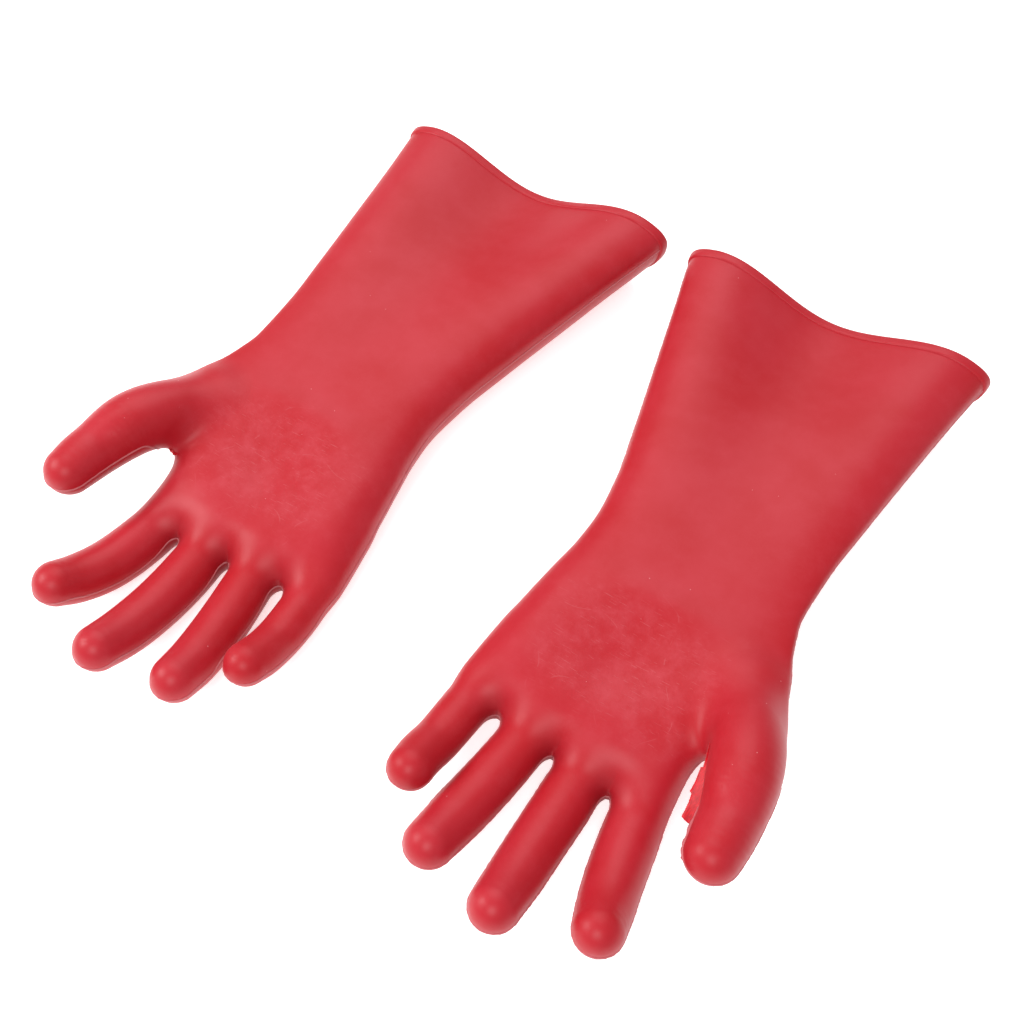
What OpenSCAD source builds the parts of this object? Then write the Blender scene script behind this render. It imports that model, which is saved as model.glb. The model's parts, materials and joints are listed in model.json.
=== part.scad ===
// A pair of heavy moulded rubber gloves for electrical work, lying palm up side by side.
// Each glove is one hollow moulding. It is divided here at the places where the rubber bends:
// the wrist, the root and the middle of every finger stall, and the root and the middle of the thumb.

/* [Glove] */
// Wall thickness of the rubber
wall = 2.2; // [1.6:0.1:2.8]
// Facets round a finger stall
stall_facets = 20; // [14:2:20]

/* [Cuff] */
// Length of the thickened bead along the glove
bead_length = 6; // [4:0.5:8]
// How far the bead stands proud of the skin
bead_rise = 1.2; // [0.6:0.1:1.4]
// How far the bead stands into the sleeve
bead_lip = 0.6; // [0.3:0.1:1]

/* [Bends] */
// Length of the soft zone at the wrist
wrist_fold = 15; // [14:0.5:18]
// Length of the soft zone at each finger root
root_fold = 12; // [11.6:0.1:12.4]
// Length of the soft zone at each finger middle
middle_fold = 15; // [14.6:0.1:15.4]
// Length of the soft zone at the thumb root
thumb_root_fold = 13; // [12.6:0.1:13.4]
// Length of the soft zone at the thumb middle
thumb_middle_fold = 12; // [11.6:0.1:12.2]
// Gap between a soft zone and the part that moves against it
seam = 0.3; // [0.2:0.05:0.4]

/* [Pair] */
// Distance between the middle lines of the two sleeves
pair_spacing = 198; // [196:1:240]

/* [Hidden] */
glove_length = 380;
wrist_y = 190;
// Points round each section of sleeve and palm
ring_points = 40;
// Superellipse power of a section's upper and lower half: 2 is an oval, more is squarer
upper_power = 2.6;
lower_power = 2.2;
// The section is drawn this much deeper than it is and then cut flat, for a flat underside
floor_press = 1.15;
// The sagging part of the top spans this share of the half width
sag_span = 0.85;
floor_z = 0;
// The bead's underside keeps this far off the floor
bead_clear = 0.1;
cut_size = 120;
// The cut that opens a stub reaches this far past its skin
cut_margin = 1.6;

// Sections of sleeve and palm, seen from the cuff with the thumb to +x. Each row is
// [distance from the rim, little finger side x, its z, thumb side x, its z, top z, sag, underside z]
SECTIONS = [
    [0, -90.3, 35, 86.3, 36, 52.5, 22, bead_rise + bead_clear],
    [bead_length, -89.3, 35, 85.4, 36, 52.5, 21, bead_rise + bead_clear],
    [40, -81, 34, 79.3, 36.5, 52, 17, floor_z],
    [80, -71.2, 32, 73.2, 37, 51.5, 11, floor_z],
    [120, -61, 30, 68, 37.5, 49.5, 6, floor_z],
    [155, -52.8, 28, 63.5, 38, 47.5, 3, floor_z],
    [wrist_y - wrist_fold / 2, -49.3, 27, 63.2, 38.5, 46, 1.5, floor_z],
    [wrist_y + wrist_fold / 2, -50.5, 26, 66, 38.5, 45, 1, floor_z],
    [215, -53, 25, 70.5, 38, 44.5, 1.5, floor_z],
    [235, -56.5, 23, 68, 35, 43.5, 3, floor_z],
    [255, -59.5, 21, 62, 30, 41, 3, 0.3],
    [272, -61.2, 19.5, 55, 21.5, 37.5, 2, 1.2],
    [286, -62, 18.5, 52.8, 17.5, 32.5, 1, 3.2],
    [294, -59, 18, 50.5, 17, 27, 0, 6.5],
    [298, -53, 18, 48, 17.5, 22, 0, 11.5],
];
// Index of the row where the sleeve ends and the wrist's soft zone begins
sleeve_last = 6;

// Stalls, in the same frame. Points are the palm end, the root bend, the middle bend,
// a point before the tip and the tip's own centre, each [x, y, z, radius].
INDEX = [[40, 268, 19, 12], [43.3, 306, 13.2, 13], [47.3, 329.5, 15.8, 12.8],
    [50.8, 344.5, 22, 12.1], [52.8, 352.7, 28, 11.3]];
MIDDLE = [[12.5, 270, 19, 12], [11, 306, 13.6, 13], [10.7, 332, 16, 12.7],
    [11.2, 355, 22.3, 12.1], [11.6, 368.8, 28.8, 11.2]];
RING = [[-16, 268, 19.5, 12], [-20.5, 305, 15, 12.5], [-23.9, 330, 15.8, 12.6],
    [-26.3, 349, 20, 12.1], [-27.2, 359.2, 24.2, 11.5]];
LITTLE = [[-47, 264, 19, 12], [-51.5, 301.5, 17, 11.3], [-52.4, 318, 19.5, 11],
    [-53, 329, 24.5, 10.9], [-52.4, 336.8, 28.6, 10.7]];
THUMB = [[57, 222, 30, 19.3], [73.5, 270.5, 47, 16.5], [77.8, 290, 47.3, 14.5],
    [78.3, 299, 48.5, 13.9], [78.5, 307.5, 49.2, 12.5]];

// Torn skin left on the parting line: its thickness, and its outline seen from above. The edge
// towards the thumb lies inside the thumb's skin and is cut back to it.
flash_skin = 0.8;
LEFT_FLASH = [[70, 275], [57.9, 275], [57.4, 277], [57.8, 284], [58, 290.6], [58.7, 291.2],
    [60, 296], [61.5, 300.6], [64.8, 300.2], [70, 300.2]];
right_flash_z = 32.2;
RIGHT_FLASH = [[50.4, 266], [51.4, 268.6], [52.3, 267.6], [53.4, 268.3], [54.6, 267.2], [56.6, 266.8],
    [57, 262], [52, 262]];

RED = [0.78, 0.17, 0.2];
DARK_RED = [0.7, 0.13, 0.16];
PALE_RED = [0.84, 0.26, 0.28];

STALL_NAMES = ["index", "middle", "ring", "little", "thumb"];
STALLS = [INDEX, MIDDLE, RING, LITTLE, THUMB];
SIDES = [["right", -1], ["left", 1]];
STALL_PARTS = ["root_fold", "base", "middle_fold", "tip"];
HAND_ROWS = [for (k = [sleeve_last + 1:len(SECTIONS) - 1]) SECTIONS[k]];
hand_start = HAND_ROWS[0][0];
hand_stop = HAND_ROWS[len(HAND_ROWS) - 1][0];

function point(p) = [p[0], p[1], p[2]];
function direction(a, b) = (point(b) - point(a)) / norm(point(b) - point(a));
function power_of(v, e) = sign(v) * pow(abs(v), e);
function is_thumb(stall) = stall == THUMB;
function root_length(stall) = is_thumb(stall) ? thumb_root_fold : root_fold;
function middle_length(stall) = is_thumb(stall) ? thumb_middle_fold : middle_fold;

// One ring of the sleeve or palm, drawn inwards from the skin by inset (outwards if negative)
function section_ring(s, inset, y) = [
    for (i = [0:ring_points - 1])
        let (turn = 360 * (i + 0.5) / ring_points,
            low_x = s[1] + inset, high_x = s[3] - inset,
            middle_x = (low_x + high_x) / 2, half = (high_x - low_x) / 2,
            power = turn < 180 ? upper_power : lower_power,
            across = power_of(cos(turn), 2 / power),
            up = power_of(sin(turn), 2 / power),
            x = middle_x + half * across,
            share = min(1, abs(across) / sag_span),
            side_z = s[2] + (s[4] - s[2]) * (across + 1) / 2,
            top_z = s[5] - inset, bottom_z = s[7] + inset,
            sag = s[6] * pow(cos(90 * share), 2),
            z = up >= 0 ? side_z + (top_z - side_z) * up - sag
                : max(side_z + (side_z - bottom_z) * floor_press * up, bottom_z))
        [x, y, z]
];

// Triangles between two neighbouring rings, starting at points first and second
function band(first, second, flip) = [
    for (i = [0:ring_points - 1])
        let (j = (i + 1) % ring_points)
        each flip
            ? [[first + i, first + j, second + j], [first + i, second + j, second + i]]
            : [[first + i, second + j, first + j], [first + i, second + i, second + j]]
];

// A hollow length of sleeve: outer skin, inner skin and the two ring-shaped ends
module sleeve_shell(rows, outer = 0, inner = wall) {
    count = len(rows);
    half = count * ring_points;
    points = concat(
        [for (s = rows) each section_ring(s, outer, s[0])],
        [for (s = rows) each section_ring(s, inner, s[0])]
    );
    faces = concat(
        [for (k = [0:count - 2]) each band(k * ring_points, (k + 1) * ring_points, true)],
        [for (k = [0:count - 2]) each band(half + k * ring_points, half + (k + 1) * ring_points, false)],
        band(0, half, false),
        band(half - ring_points, 2 * half - ring_points, true)
    );
    polyhedron(points, faces);
}

// The same stretch as one closed solid, for the palm's outside and for its hollow
module section_solid(rows, inset, start, stop) {
    count = len(rows);
    ys = [for (k = [0:count - 1]) k == 0 ? start : k == count - 1 ? stop : rows[k][0]];
    points = [for (k = [0:count - 1]) each section_ring(rows[k], inset, ys[k])];
    faces = concat(
        [for (k = [0:count - 2]) each band(k * ring_points, (k + 1) * ring_points, true)],
        [[for (i = [ring_points - 1:-1:0]) i]],
        [[for (i = [0:ring_points - 1]) (count - 1) * ring_points + i]]
    );
    polyhedron(points, faces);
}

// A rounded tube along a stall's points, thinner by inset, as far as the point numbered last
module stall_chain(stall, inset, last) {
    for (k = [0:last - 1]) hull() {
        stall_ball(stall[k], -inset);
        stall_ball(stall[k + 1], -inset);
    }
}

module stall_ball(p, grow) {
    translate(point(p)) rotate([90, 0, 0]) sphere(p[3] + grow, $fn = stall_facets);
}

// Everything of a stall past a plane square to it
module past(centre, along, reach) {
    translate(centre)
        rotate([0, acos(along[2]), atan2(along[1], along[0])])
        translate([-reach, -reach, 0])
        cube([2 * reach, 2 * reach, cut_size]);
}

// The four planes that divide a stall, as [centre, direction]
function root_start(s) = [point(s[1]) - direction(s[0], s[1]) * root_length(s) / 2, direction(s[0], s[1])];
function root_end(s) = [point(s[1]) + direction(s[1], s[2]) * root_length(s) / 2, direction(s[1], s[2])];
function middle_start(s) = [point(s[2]) - direction(s[1], s[2]) * middle_length(s) / 2, direction(s[1], s[2])];
function middle_end(s) = [point(s[2]) + direction(s[2], s[4]) * middle_length(s) / 2, direction(s[2], s[4])];
function shifted(plane, by) = [plane[0] + plane[1] * by, plane[1]];

module stall_slice(stall, from, to) {
    reach = 2 * stall[1][3];
    intersection() {
        difference() {
            stall_chain(stall, 0, len(stall) - 1);
            stall_chain(stall, wall, len(stall) - 1);
        }
        difference() {
            past(from[0], from[1], reach);
            if (is_list(to)) past(to[0], to[1], reach);
        }
    }
}

module stall_root_fold(stall) {
    color(DARK_RED) stall_slice(stall, shifted(root_start(stall), seam), root_end(stall));
}

module stall_base(stall) {
    color(RED) stall_slice(stall, root_end(stall), middle_start(stall));
}

module stall_middle_fold(stall) {
    color(DARK_RED) stall_slice(stall, middle_start(stall), shifted(middle_end(stall), -seam));
}

module stall_tip(stall) {
    color(RED) stall_slice(stall, middle_end(stall), undef);
}

// The palm's outside with the short stubs that the stalls grow from
module hand_outside() {
    section_solid(HAND_ROWS, 0, hand_start, hand_stop);
    for (s = STALLS) stall_chain(s, 0, 1);
}

// Palm, back of the hand and stubs, hollow
module hand() {
    color(RED) difference() {
        hand_outside();
        section_solid(HAND_ROWS, wall, hand_start - 1, hand_stop - wall);
        for (s = STALLS) {
            stall_chain(s, wall, 1);
            past(root_start(s)[0], root_start(s)[1], s[1][3] + cut_margin);
        }
        translate([-cut_size, hand_start - 2 * cut_size, -cut_size]) cube(2 * cut_size);
    }
}

module sleeve() {
    color(RED) sleeve_shell([for (k = [1:sleeve_last]) SECTIONS[k]]);
}

// Soft zone between sleeve and hand
module wrist_zone() {
    last = SECTIONS[sleeve_last + 1];
    color(DARK_RED) sleeve_shell([
        SECTIONS[sleeve_last],
        [for (k = [0:len(last) - 1]) k == 0 ? last[0] - seam : last[k]],
    ]);
}

// Thick rim at the open end, proud of the skin outside and lipped inside
module cuff_bead() {
    edge = 0.8;
    half_edge = bead_rise / 2;
    rim = SECTIONS[0];
    foot = SECTIONS[1];
    function at(share) = rim + (foot - rim) * share;
    color(PALE_RED) sleeve_shell_profile([
        [at(0), -half_edge], [at(edge / bead_length), -bead_rise],
        [at(1 - edge / bead_length), -bead_rise], [at(1), -half_edge],
        [at(1), wall + bead_lip / 2], [at(1 - edge / bead_length), wall + bead_lip],
        [at(edge / bead_length), wall + bead_lip], [at(0), wall + bead_lip / 2],
    ]);
}

// A ring with any closed profile: each entry is [section row, inset], in order round the profile
module sleeve_shell_profile(profile) {
    count = len(profile);
    points = [for (p = profile) each section_ring(p[0], p[1], p[0][0])];
    faces = [
        for (k = [0:count - 1]) each band(k * ring_points, ((k + 1) % count) * ring_points, true)
    ];
    polyhedron(points, faces);
}

// Thin torn skin of rubber left on the parting line, on the inner side of the thumb
module thumb_flash_left() {
    color(PALE_RED) difference() {
        translate([0, 0, THUMB[1][2]]) linear_extrude(flash_skin) polygon(LEFT_FLASH);
        stall_chain(THUMB, 0, 2);
        hull() {
            stall_ball(THUMB[2], seam);
            stall_ball(THUMB[4], seam);
        }
    }
}

// Small nib of the same skin, in the fork between thumb and palm
module thumb_flash_right() {
    color(PALE_RED) difference() {
        translate([0, 0, right_flash_z]) linear_extrude(flash_skin) polygon(RIGHT_FLASH);
        hand_outside();
    }
}

// Puts a glove on its side of the pair: rim at +Y, fingertips at -Y, thumb outwards
module in_pair(side) {
    translate([side * pair_spacing / 2, glove_length / 2, 0])
        mirror([0, 1, 0])
        if (side < 0) mirror([1, 0, 0]) children();
        else children();
}

for (s = SIDES) in_pair(s[1]) {
    cuff_bead();
    sleeve();
    wrist_zone();
    hand();
    for (k = [0:len(STALLS) - 1]) {
        name = str(s[0], "_", STALL_NAMES[k], "_");
        stall_root_fold(STALLS[k]);
        stall_base(STALLS[k]);
        stall_middle_fold(STALLS[k]);
        stall_tip(STALLS[k]);
    }
}
in_pair(1) thumb_flash_left();  // left_thumb_flash
in_pair(-1) thumb_flash_right();  // right_thumb_flash
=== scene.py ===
"""A pair of heavy moulded rubber insulating gloves, lying palm up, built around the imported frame.

Each glove's skin is one smooth implicit surface: flattened sleeve and palm sections, joined softly to
five round stalls. It is meshed once, cut into stretches at the places where the rubber bends, and each
stretch gets the wall's thickness. Lengths are millimetres in the glove's own frame: x towards the thumb,
y from the rim to the fingertips, z up from the floor. Only the studio at the end is laid out in metres.
"""
import json
import math

import bmesh
import bpy
import numpy as np
import openvdb
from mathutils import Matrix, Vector


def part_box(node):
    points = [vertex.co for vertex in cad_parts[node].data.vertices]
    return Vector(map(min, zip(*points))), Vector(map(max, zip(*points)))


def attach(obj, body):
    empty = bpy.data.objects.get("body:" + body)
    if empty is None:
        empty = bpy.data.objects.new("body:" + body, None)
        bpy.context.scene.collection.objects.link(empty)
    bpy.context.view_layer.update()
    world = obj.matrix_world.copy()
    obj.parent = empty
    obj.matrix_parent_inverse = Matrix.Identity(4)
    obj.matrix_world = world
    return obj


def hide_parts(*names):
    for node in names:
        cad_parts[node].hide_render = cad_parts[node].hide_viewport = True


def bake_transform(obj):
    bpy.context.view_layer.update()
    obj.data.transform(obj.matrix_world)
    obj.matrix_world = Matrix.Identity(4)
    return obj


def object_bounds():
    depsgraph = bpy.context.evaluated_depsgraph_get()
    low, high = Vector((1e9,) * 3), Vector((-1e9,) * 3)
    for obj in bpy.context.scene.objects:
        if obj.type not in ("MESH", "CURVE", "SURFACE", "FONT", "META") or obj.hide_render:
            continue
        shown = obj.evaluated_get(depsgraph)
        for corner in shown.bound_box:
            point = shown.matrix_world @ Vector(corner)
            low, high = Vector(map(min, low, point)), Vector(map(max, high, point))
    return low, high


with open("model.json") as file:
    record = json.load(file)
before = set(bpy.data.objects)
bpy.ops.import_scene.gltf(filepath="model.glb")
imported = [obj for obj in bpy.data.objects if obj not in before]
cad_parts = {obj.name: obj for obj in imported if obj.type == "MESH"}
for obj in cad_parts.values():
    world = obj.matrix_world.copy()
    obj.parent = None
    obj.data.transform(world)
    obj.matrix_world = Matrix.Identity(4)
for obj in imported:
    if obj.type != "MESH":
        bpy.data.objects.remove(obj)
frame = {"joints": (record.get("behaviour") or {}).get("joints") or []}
cad_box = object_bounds()

MM = 0.001
SIDES = {"right": -1, "left": 1}
STALL_NAMES = ("index", "middle", "ring", "little", "thumb")
JOINTS = {j["name"]: j for j in frame["joints"]}

# ---------------------------------------------------------------- the glove's own frame
WRIST_OFFSET = 7.5                       # the wrist hinge lies this far to the thumb side of the middle line
RIM = cad_box[1].y / MM                  # the rim's y in the row frame
HALF_PAIR = JOINTS["left_wrist_bend"]["pos_m"][0] / MM - WRIST_OFFSET


def to_world(p, side):
    """Points of a glove's frame in metres of the row frame."""
    p = np.asarray(p, float)
    return np.stack([side * (HALF_PAIR + p[..., 0]), RIM - p[..., 1], p[..., 2]], -1) * MM


def to_glove(point_m, side):
    """One point of the row frame, in metres, in a glove's own frame."""
    x, y, z = (c / MM for c in point_m)
    return np.array([side * x - HALF_PAIR, RIM - y, z])


def direction_to_world(v, side):
    """Directions of a glove's frame turned into the row frame."""
    return np.stack([side * v[..., 0], -v[..., 1], v[..., 2]], -1)


# ---------------------------------------------------------------- sizes
WALL = 2.2
VOXEL = 1.7                              # pitch of the grid on which the skin is meshed
GRID_LOW = (-98.0, -5.0, -5.0)
GRID_HIGH = (100.0, 386.0, 71.0)
UPPER_POWER = 2.6                        # how square the sections are above and below their sides
LOWER_POWER = 2.2
FLOOR_PRESS = 1.15                       # how much deeper the underside is drawn before it is pressed flat
FLOOR_ROUNDING = 1.2
SAG_SPAN = 0.85                          # share of the half width over which the top sags
SLEEVE_START = 2.0
SLEEVE_END = 168.0
HAND_START = 214.0
FINGER_FILLET = 8.0
THUMB_FILLET = 11.0
WEB_SHEAR = 0.08                         # the finger roots step back towards the little finger by this slope
WEB_MIDDLE = 5.0
WEB_SHEAR_REACH = (250.0, 296.0)
TINY = 1e-9                              # keeps a division or a power from meeting zero
SMALL_SLOPE = 1e-6
DISTANCE_LIMIT = 25.0

# distance from the rim, little finger side x and z, thumb side x and z, top, sag of the top, underside
SECTIONS = np.array([
    [-8, -90.9, 35, 86.8, 36, 52.5, 23, 1.3],
    [0, -90.3, 35, 86.3, 36, 52.5, 22, 1.3],
    [6, -89.3, 35, 85.4, 36, 52.5, 21, 1.1],
    [40, -80.4, 34, 79.7, 36.5, 52, 17, 0],
    [80, -70.3, 32, 73.8, 37, 51.5, 11, 0],
    [120, -60.2, 30, 68.3, 37.5, 49.5, 6, 0],
    [155, -52.2, 28, 64, 38, 47.5, 3, 0],
    [182, -49.3, 27, 62.8, 38.5, 46, 1.5, 0],
    [198, -50.3, 26, 65.8, 38.5, 45, 1, 0],
    [215, -53, 25, 70.6, 38, 44.5, 1.5, 0],
    [235, -56.2, 23, 71.6, 35, 43.5, 3, 0],
    [255, -58.9, 21, 59, 29, 41, 3, 0.3],
    [272, -60.2, 19.5, 50.3, 21.5, 38, 2, 1.2],
    [286, -60.8, 18.5, 47.8, 17.5, 33.5, 0.5, 3.2],
    [304, -60.3, 18, 45.3, 17, 28, 0, 7],
], float)
PALM_END = 294.4                         # a slanted plane ends the palm here, rounded into the sections
PALM_END_ROUNDING = 15.0

# Radii along each stall at its palm end, root bend, middle bend, near the tip and at the tip's centre,
# and its three points that aren't joints.
STALLS = {
    "index": dict(radii=(11, 13, 12.8, 12.1, 11.3),
                  palm=(38, 258, 21), near=(50.8, 344.5, 22), tip=(52.8, 352.7, 28)),
    "middle": dict(radii=(11, 13, 12.7, 12.1, 11.3),
                   palm=(13, 258, 21), near=(11.2, 355, 22.3), tip=(11.6, 367.8, 28.7)),
    "ring": dict(radii=(11, 12.5, 12.6, 12.1, 11.5),
                 palm=(-14, 256, 21), near=(-26.3, 349, 20), tip=(-27.2, 359.2, 24.2)),
    "little": dict(radii=(11, 11.3, 11, 10.9, 10.7),
                   palm=(-44, 252, 20), near=(-53, 329, 24.5), tip=(-52.4, 336.8, 28.6)),
    "thumb": dict(radii=(16.2, 16.1, 13.8, 13.2, 12.2),
                  palm=(58, 228, 31), near=(78.3, 299, 48.5), tip=(78.5, 307.5, 49.2),
                  root_shift=(0.8, 0, 0)),
}
STALL_STEPS = 33                         # points along each stall's curve
PALM_PULL = 0.3                          # share of the way from root hinge to palm end, where its line starts
TIP_PULL = 0.55                          # share of the way from near point to tip, where its line ends

# Millimetres from a bend's hinge: where the stall leaves the hand, where its root bend begins and ends,
# where its end piece takes over, and where its middle bend begins and ends
CUTS = {
    "index": dict(leave=-5, root=(-4, 9), share=10.5, middle=(-11, 11)),
    "middle": dict(leave=-5, root=(-4, 9), share=10.5, middle=(-11, 11)),
    "ring": dict(leave=-5, root=(-4, 9), share=10.5, middle=(-11, 11)),
    "little": dict(leave=-5, root=(-4, 6.5), share=7.5, middle=(-8, 10)),
    "thumb": dict(leave=-12, root=(-11, 8), share=9.5, middle=(-9, 10)),
}
# Shallow relief of the palm: x, y, spread in x, spread in y, depth (below zero it stands up)
PALM_RELIEF = (
    (2, 246, 26, 19, 2.2),
    (-43, 250, 8, 26, -0.8),
    (46, 228, 11, 20, -1.2),
    (8, 211, 34, 7, -0.8),
    (24.5, 297, 8, 9, 0.8),
    (-4, 295, 8, 9, 0.8),
    (-36, 292, 8, 9, 0.8),
)
RELIEF_HEIGHTS = (17.0, 27.0)            # the relief fades in between these heights


# ---------------------------------------------------------------- smooth interpolation
def cubic(t, h, a, b, slope_a, slope_b):
    """From a to b over a step h, at the share t of it, with these slopes at its ends."""
    return (a * (1 + 2 * t) * (1 - t) ** 2 + b * t * t * (3 - 2 * t)
            + h * slope_a * t * (1 - t) ** 2 + h * slope_b * t * t * (t - 1))


def smooth_rows(rows):
    """Cubic pieces through rows over their first column, with no overshoot."""
    at = rows[:, 0]
    step = np.diff(at)
    slope = np.diff(rows, axis=0) / step[:, None]
    tangent = np.zeros_like(rows)
    same = slope[:-1] * slope[1:] > 0
    mean = 2 * slope[:-1] * slope[1:] / np.where(same, slope[:-1] + slope[1:], 1)
    tangent[1:-1] = np.where(same, mean, 0)
    tangent[0], tangent[-1] = slope[0], slope[-1]

    def value(q):
        k = np.clip(np.searchsorted(at, q) - 1, 0, len(at) - 2)
        t = np.clip((q - at[k]) / step[k], 0, 1)[..., None]
        return cubic(t, step[k][..., None], rows[k], rows[k + 1], tangent[k], tangent[k + 1])

    return value


def smooth_step(low, high, v):
    """0 below low, 1 above high, and a smooth rise between them."""
    t = np.clip((v - low) / (high - low), 0, 1)
    return t * t * (3 - 2 * t)


def unit(v):
    return v / np.linalg.norm(v)


def unit_rows(v):
    return v / np.linalg.norm(v, axis=1)[:, None]


def catmull_rom(rows, at):
    """Rows at the places at of their first column, on a curve through them with rounded turns."""
    x = rows[:, 0]
    slope = np.gradient(rows, x, axis=0)
    k = np.clip(np.searchsorted(x, at) - 1, 0, len(x) - 2)
    h = (x[k + 1] - x[k])[:, None]
    t = (at - x[k])[:, None] / h
    return cubic(t, h, rows[k], rows[k + 1], slope[k], slope[k + 1])


def smooth_min(a, b, k):
    """The lower of a and b, rounded off where they are less than k apart."""
    h = np.maximum(k - np.abs(a - b), 0) / k
    return np.minimum(a, b) - h * h * k / 4


def smooth_max(a, b, k):
    return -smooth_min(-a, -b, k)


section_at = smooth_rows(SECTIONS)


# ---------------------------------------------------------------- sleeve and palm
def side_height(s, u):
    """Height of a section's two sides, drawn across from one to the other."""
    return s[..., 2] + (s[..., 4] - s[..., 2]) * (np.clip(u, -1, 1) + 1) / 2


def sag_at(s, u):
    """How far a section's top sags at the share u of its half width."""
    return s[..., 6] * np.cos(np.pi / 2 * np.minimum(1, np.abs(u) / SAG_SPAN)) ** 2


def section_near(y):
    """The section at each distance from the rim, held at the first and last row beyond them."""
    return section_at(np.clip(y, SECTIONS[0, 0], SECTIONS[-1, 0]))


def sheared(p):
    """Distance from the rim, slanted near the finger roots the way these slant across the palm."""
    return p[..., 1] - WEB_SHEAR * (p[..., 0] - WEB_MIDDLE) * smooth_step(*WEB_SHEAR_REACH, p[..., 1])


def body_level(p):
    """Below 0 inside the sleeve and palm, 0 on their skin."""
    x, y, z = p[..., 0], sheared(p), p[..., 2]
    s = section_near(y)
    centre, half = (s[..., 1] + s[..., 3]) / 2, (s[..., 3] - s[..., 1]) / 2
    u = (x - centre) / half
    side = side_height(s, u)
    sag = sag_at(s, u)
    above = z + sag - side
    upper = above >= 0
    v = above / np.where(upper, s[..., 5] - side, (side - sag - s[..., 7]) * FLOOR_PRESS)
    power = np.where(upper, UPPER_POWER, LOWER_POWER)
    return (np.abs(u) ** power + np.abs(v) ** power + TINY) ** (1 / power) - 1


def body_distance(p, spacing=None, step=0.4):
    """Roughly the distance to the body's skin: its level over the level's slope. On a grid of that
    spacing the slope comes from the neighbours."""
    level = body_level(p)
    if spacing:
        slope = sum(g * g for g in np.gradient(level, spacing))
    else:
        shifts = step * np.eye(3)
        slope = sum(((body_level(p + d) - body_level(p - d)) / (2 * step)) ** 2 for d in shifts)
    distance = np.clip(level / np.sqrt(slope + SMALL_SLOPE), -DISTANCE_LIMIT, DISTANCE_LIMIT)
    distance = smooth_max(distance, sheared(p) - PALM_END, PALM_END_ROUNDING)
    floor = section_near(p[..., 1])[..., 7]
    return smooth_max(distance, floor - p[..., 2], FLOOR_ROUNDING)


# ---------------------------------------------------------------- stalls
class Stall:
    """A round stall along a smooth curve through its five points."""

    def __init__(self, name):
        data = STALLS[name]
        cuts = CUTS[name]
        root = to_glove(JOINTS[f"left_{name}_root_bend"]["pos_m"], 1)
        middle = to_glove(JOINTS[f"left_{name}_middle_bend"]["pos_m"], 1)
        knots = np.array([data["palm"], root, middle, data["near"], data["tip"]], float)
        knots[1] += data.get("root_shift", (0, 0, 0))
        run = np.concatenate([[0], np.cumsum(np.linalg.norm(np.diff(knots, axis=0), axis=1))])
        rows = np.column_stack([run, knots, data["radii"]])
        line = catmull_rom(rows, np.linspace(0, run[-1], STALL_STEPS))
        self.points, self.radii = line[:, 1:4], line[:, 4]
        self.tip = self.points[-1]
        between = unit(middle - root)
        along_root = unit(middle - knots[0] * PALM_PULL - root * (1 - PALM_PULL))
        along_middle = unit(self.tip * TIP_PULL + knots[3] * (1 - TIP_PULL) - root)
        self.leave = (root + along_root * cuts["leave"], along_root)
        self.share = (root + between * cuts["share"], between)
        self.root_blend = [root + along_root * d for d in cuts["root"]]
        self.middle_blend = [middle + along_middle * d for d in cuts["middle"]]

    def measure(self, p, far=1e3):
        """Distance to the stall's skin, and the height of its axis beside each point."""
        best = np.full(p.shape[:-1], far)
        height = np.zeros(p.shape[:-1])
        for a, b, ra, rb in zip(self.points[:-1], self.points[1:], self.radii[:-1], self.radii[1:]):
            along = b - a
            t = np.clip((p - a) @ along / (along @ along), 0, 1)
            away = np.linalg.norm(p - a - t[..., None] * along, axis=-1) - (ra + (rb - ra) * t)
            nearer = away < best
            best = np.where(nearer, away, best)
            height = np.where(nearer, a[2] + t * along[2], height)
        return best, height

    def distance_near(self, p, reach=26.0):
        """measure()'s distance, worked out only where it can matter."""
        low = (self.points - self.radii[:, None]).min(0) - reach
        high = (self.points + self.radii[:, None]).max(0) + reach
        out = np.full(p.shape[:-1], reach)
        near = ((p > low) & (p < high)).all(-1)
        out[near] = np.minimum(reach, self.measure(p[near])[0])
        return out


stalls = {name: Stall(name) for name in STALL_NAMES}


# ---------------------------------------------------------------- the whole skin
NEWTON_ROUNDS = 3
LONGEST_STEP = 1.0


def relief(p):
    """How far the palm side is sunk below the plain sections."""
    x, y, z = p[..., 0], p[..., 1], p[..., 2]
    depth = np.zeros(p.shape[:-1])
    for cx, cy, sx, sy, amount in PALM_RELIEF:
        depth += amount * np.exp(-((x - cx) / sx) ** 2 - ((y - cy) / sy) ** 2)
    return depth * smooth_step(*RELIEF_HEIGHTS, z)


def skin_distance(p, spacing=None):
    """Roughly the distance to the whole glove's skin, below 0 inside it."""
    body = body_distance(p, spacing) + relief(p)
    fingers = np.minimum.reduce([stalls[n].distance_near(p) for n in STALL_NAMES[:4]])
    skin = smooth_min(body, fingers, FINGER_FILLET)
    return smooth_min(skin, stalls["thumb"].distance_near(p), THUMB_FILLET)


def skin_gradient(p, step=0.25):
    """The slope of skin_distance, which points out of the skin."""
    out = np.zeros(p.shape)
    for axis in range(3):
        shift = np.zeros(3)
        shift[axis] = step
        out[..., axis] = (skin_distance(p + shift) - skin_distance(p - shift)) / (2 * step)
    return out


def beyond_skin(p):
    """The step from the skin to each point near it."""
    slope = skin_gradient(p)
    return skin_distance(p)[:, None] * slope / (np.sum(slope * slope, -1)[:, None] + SMALL_SLOPE)


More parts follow.
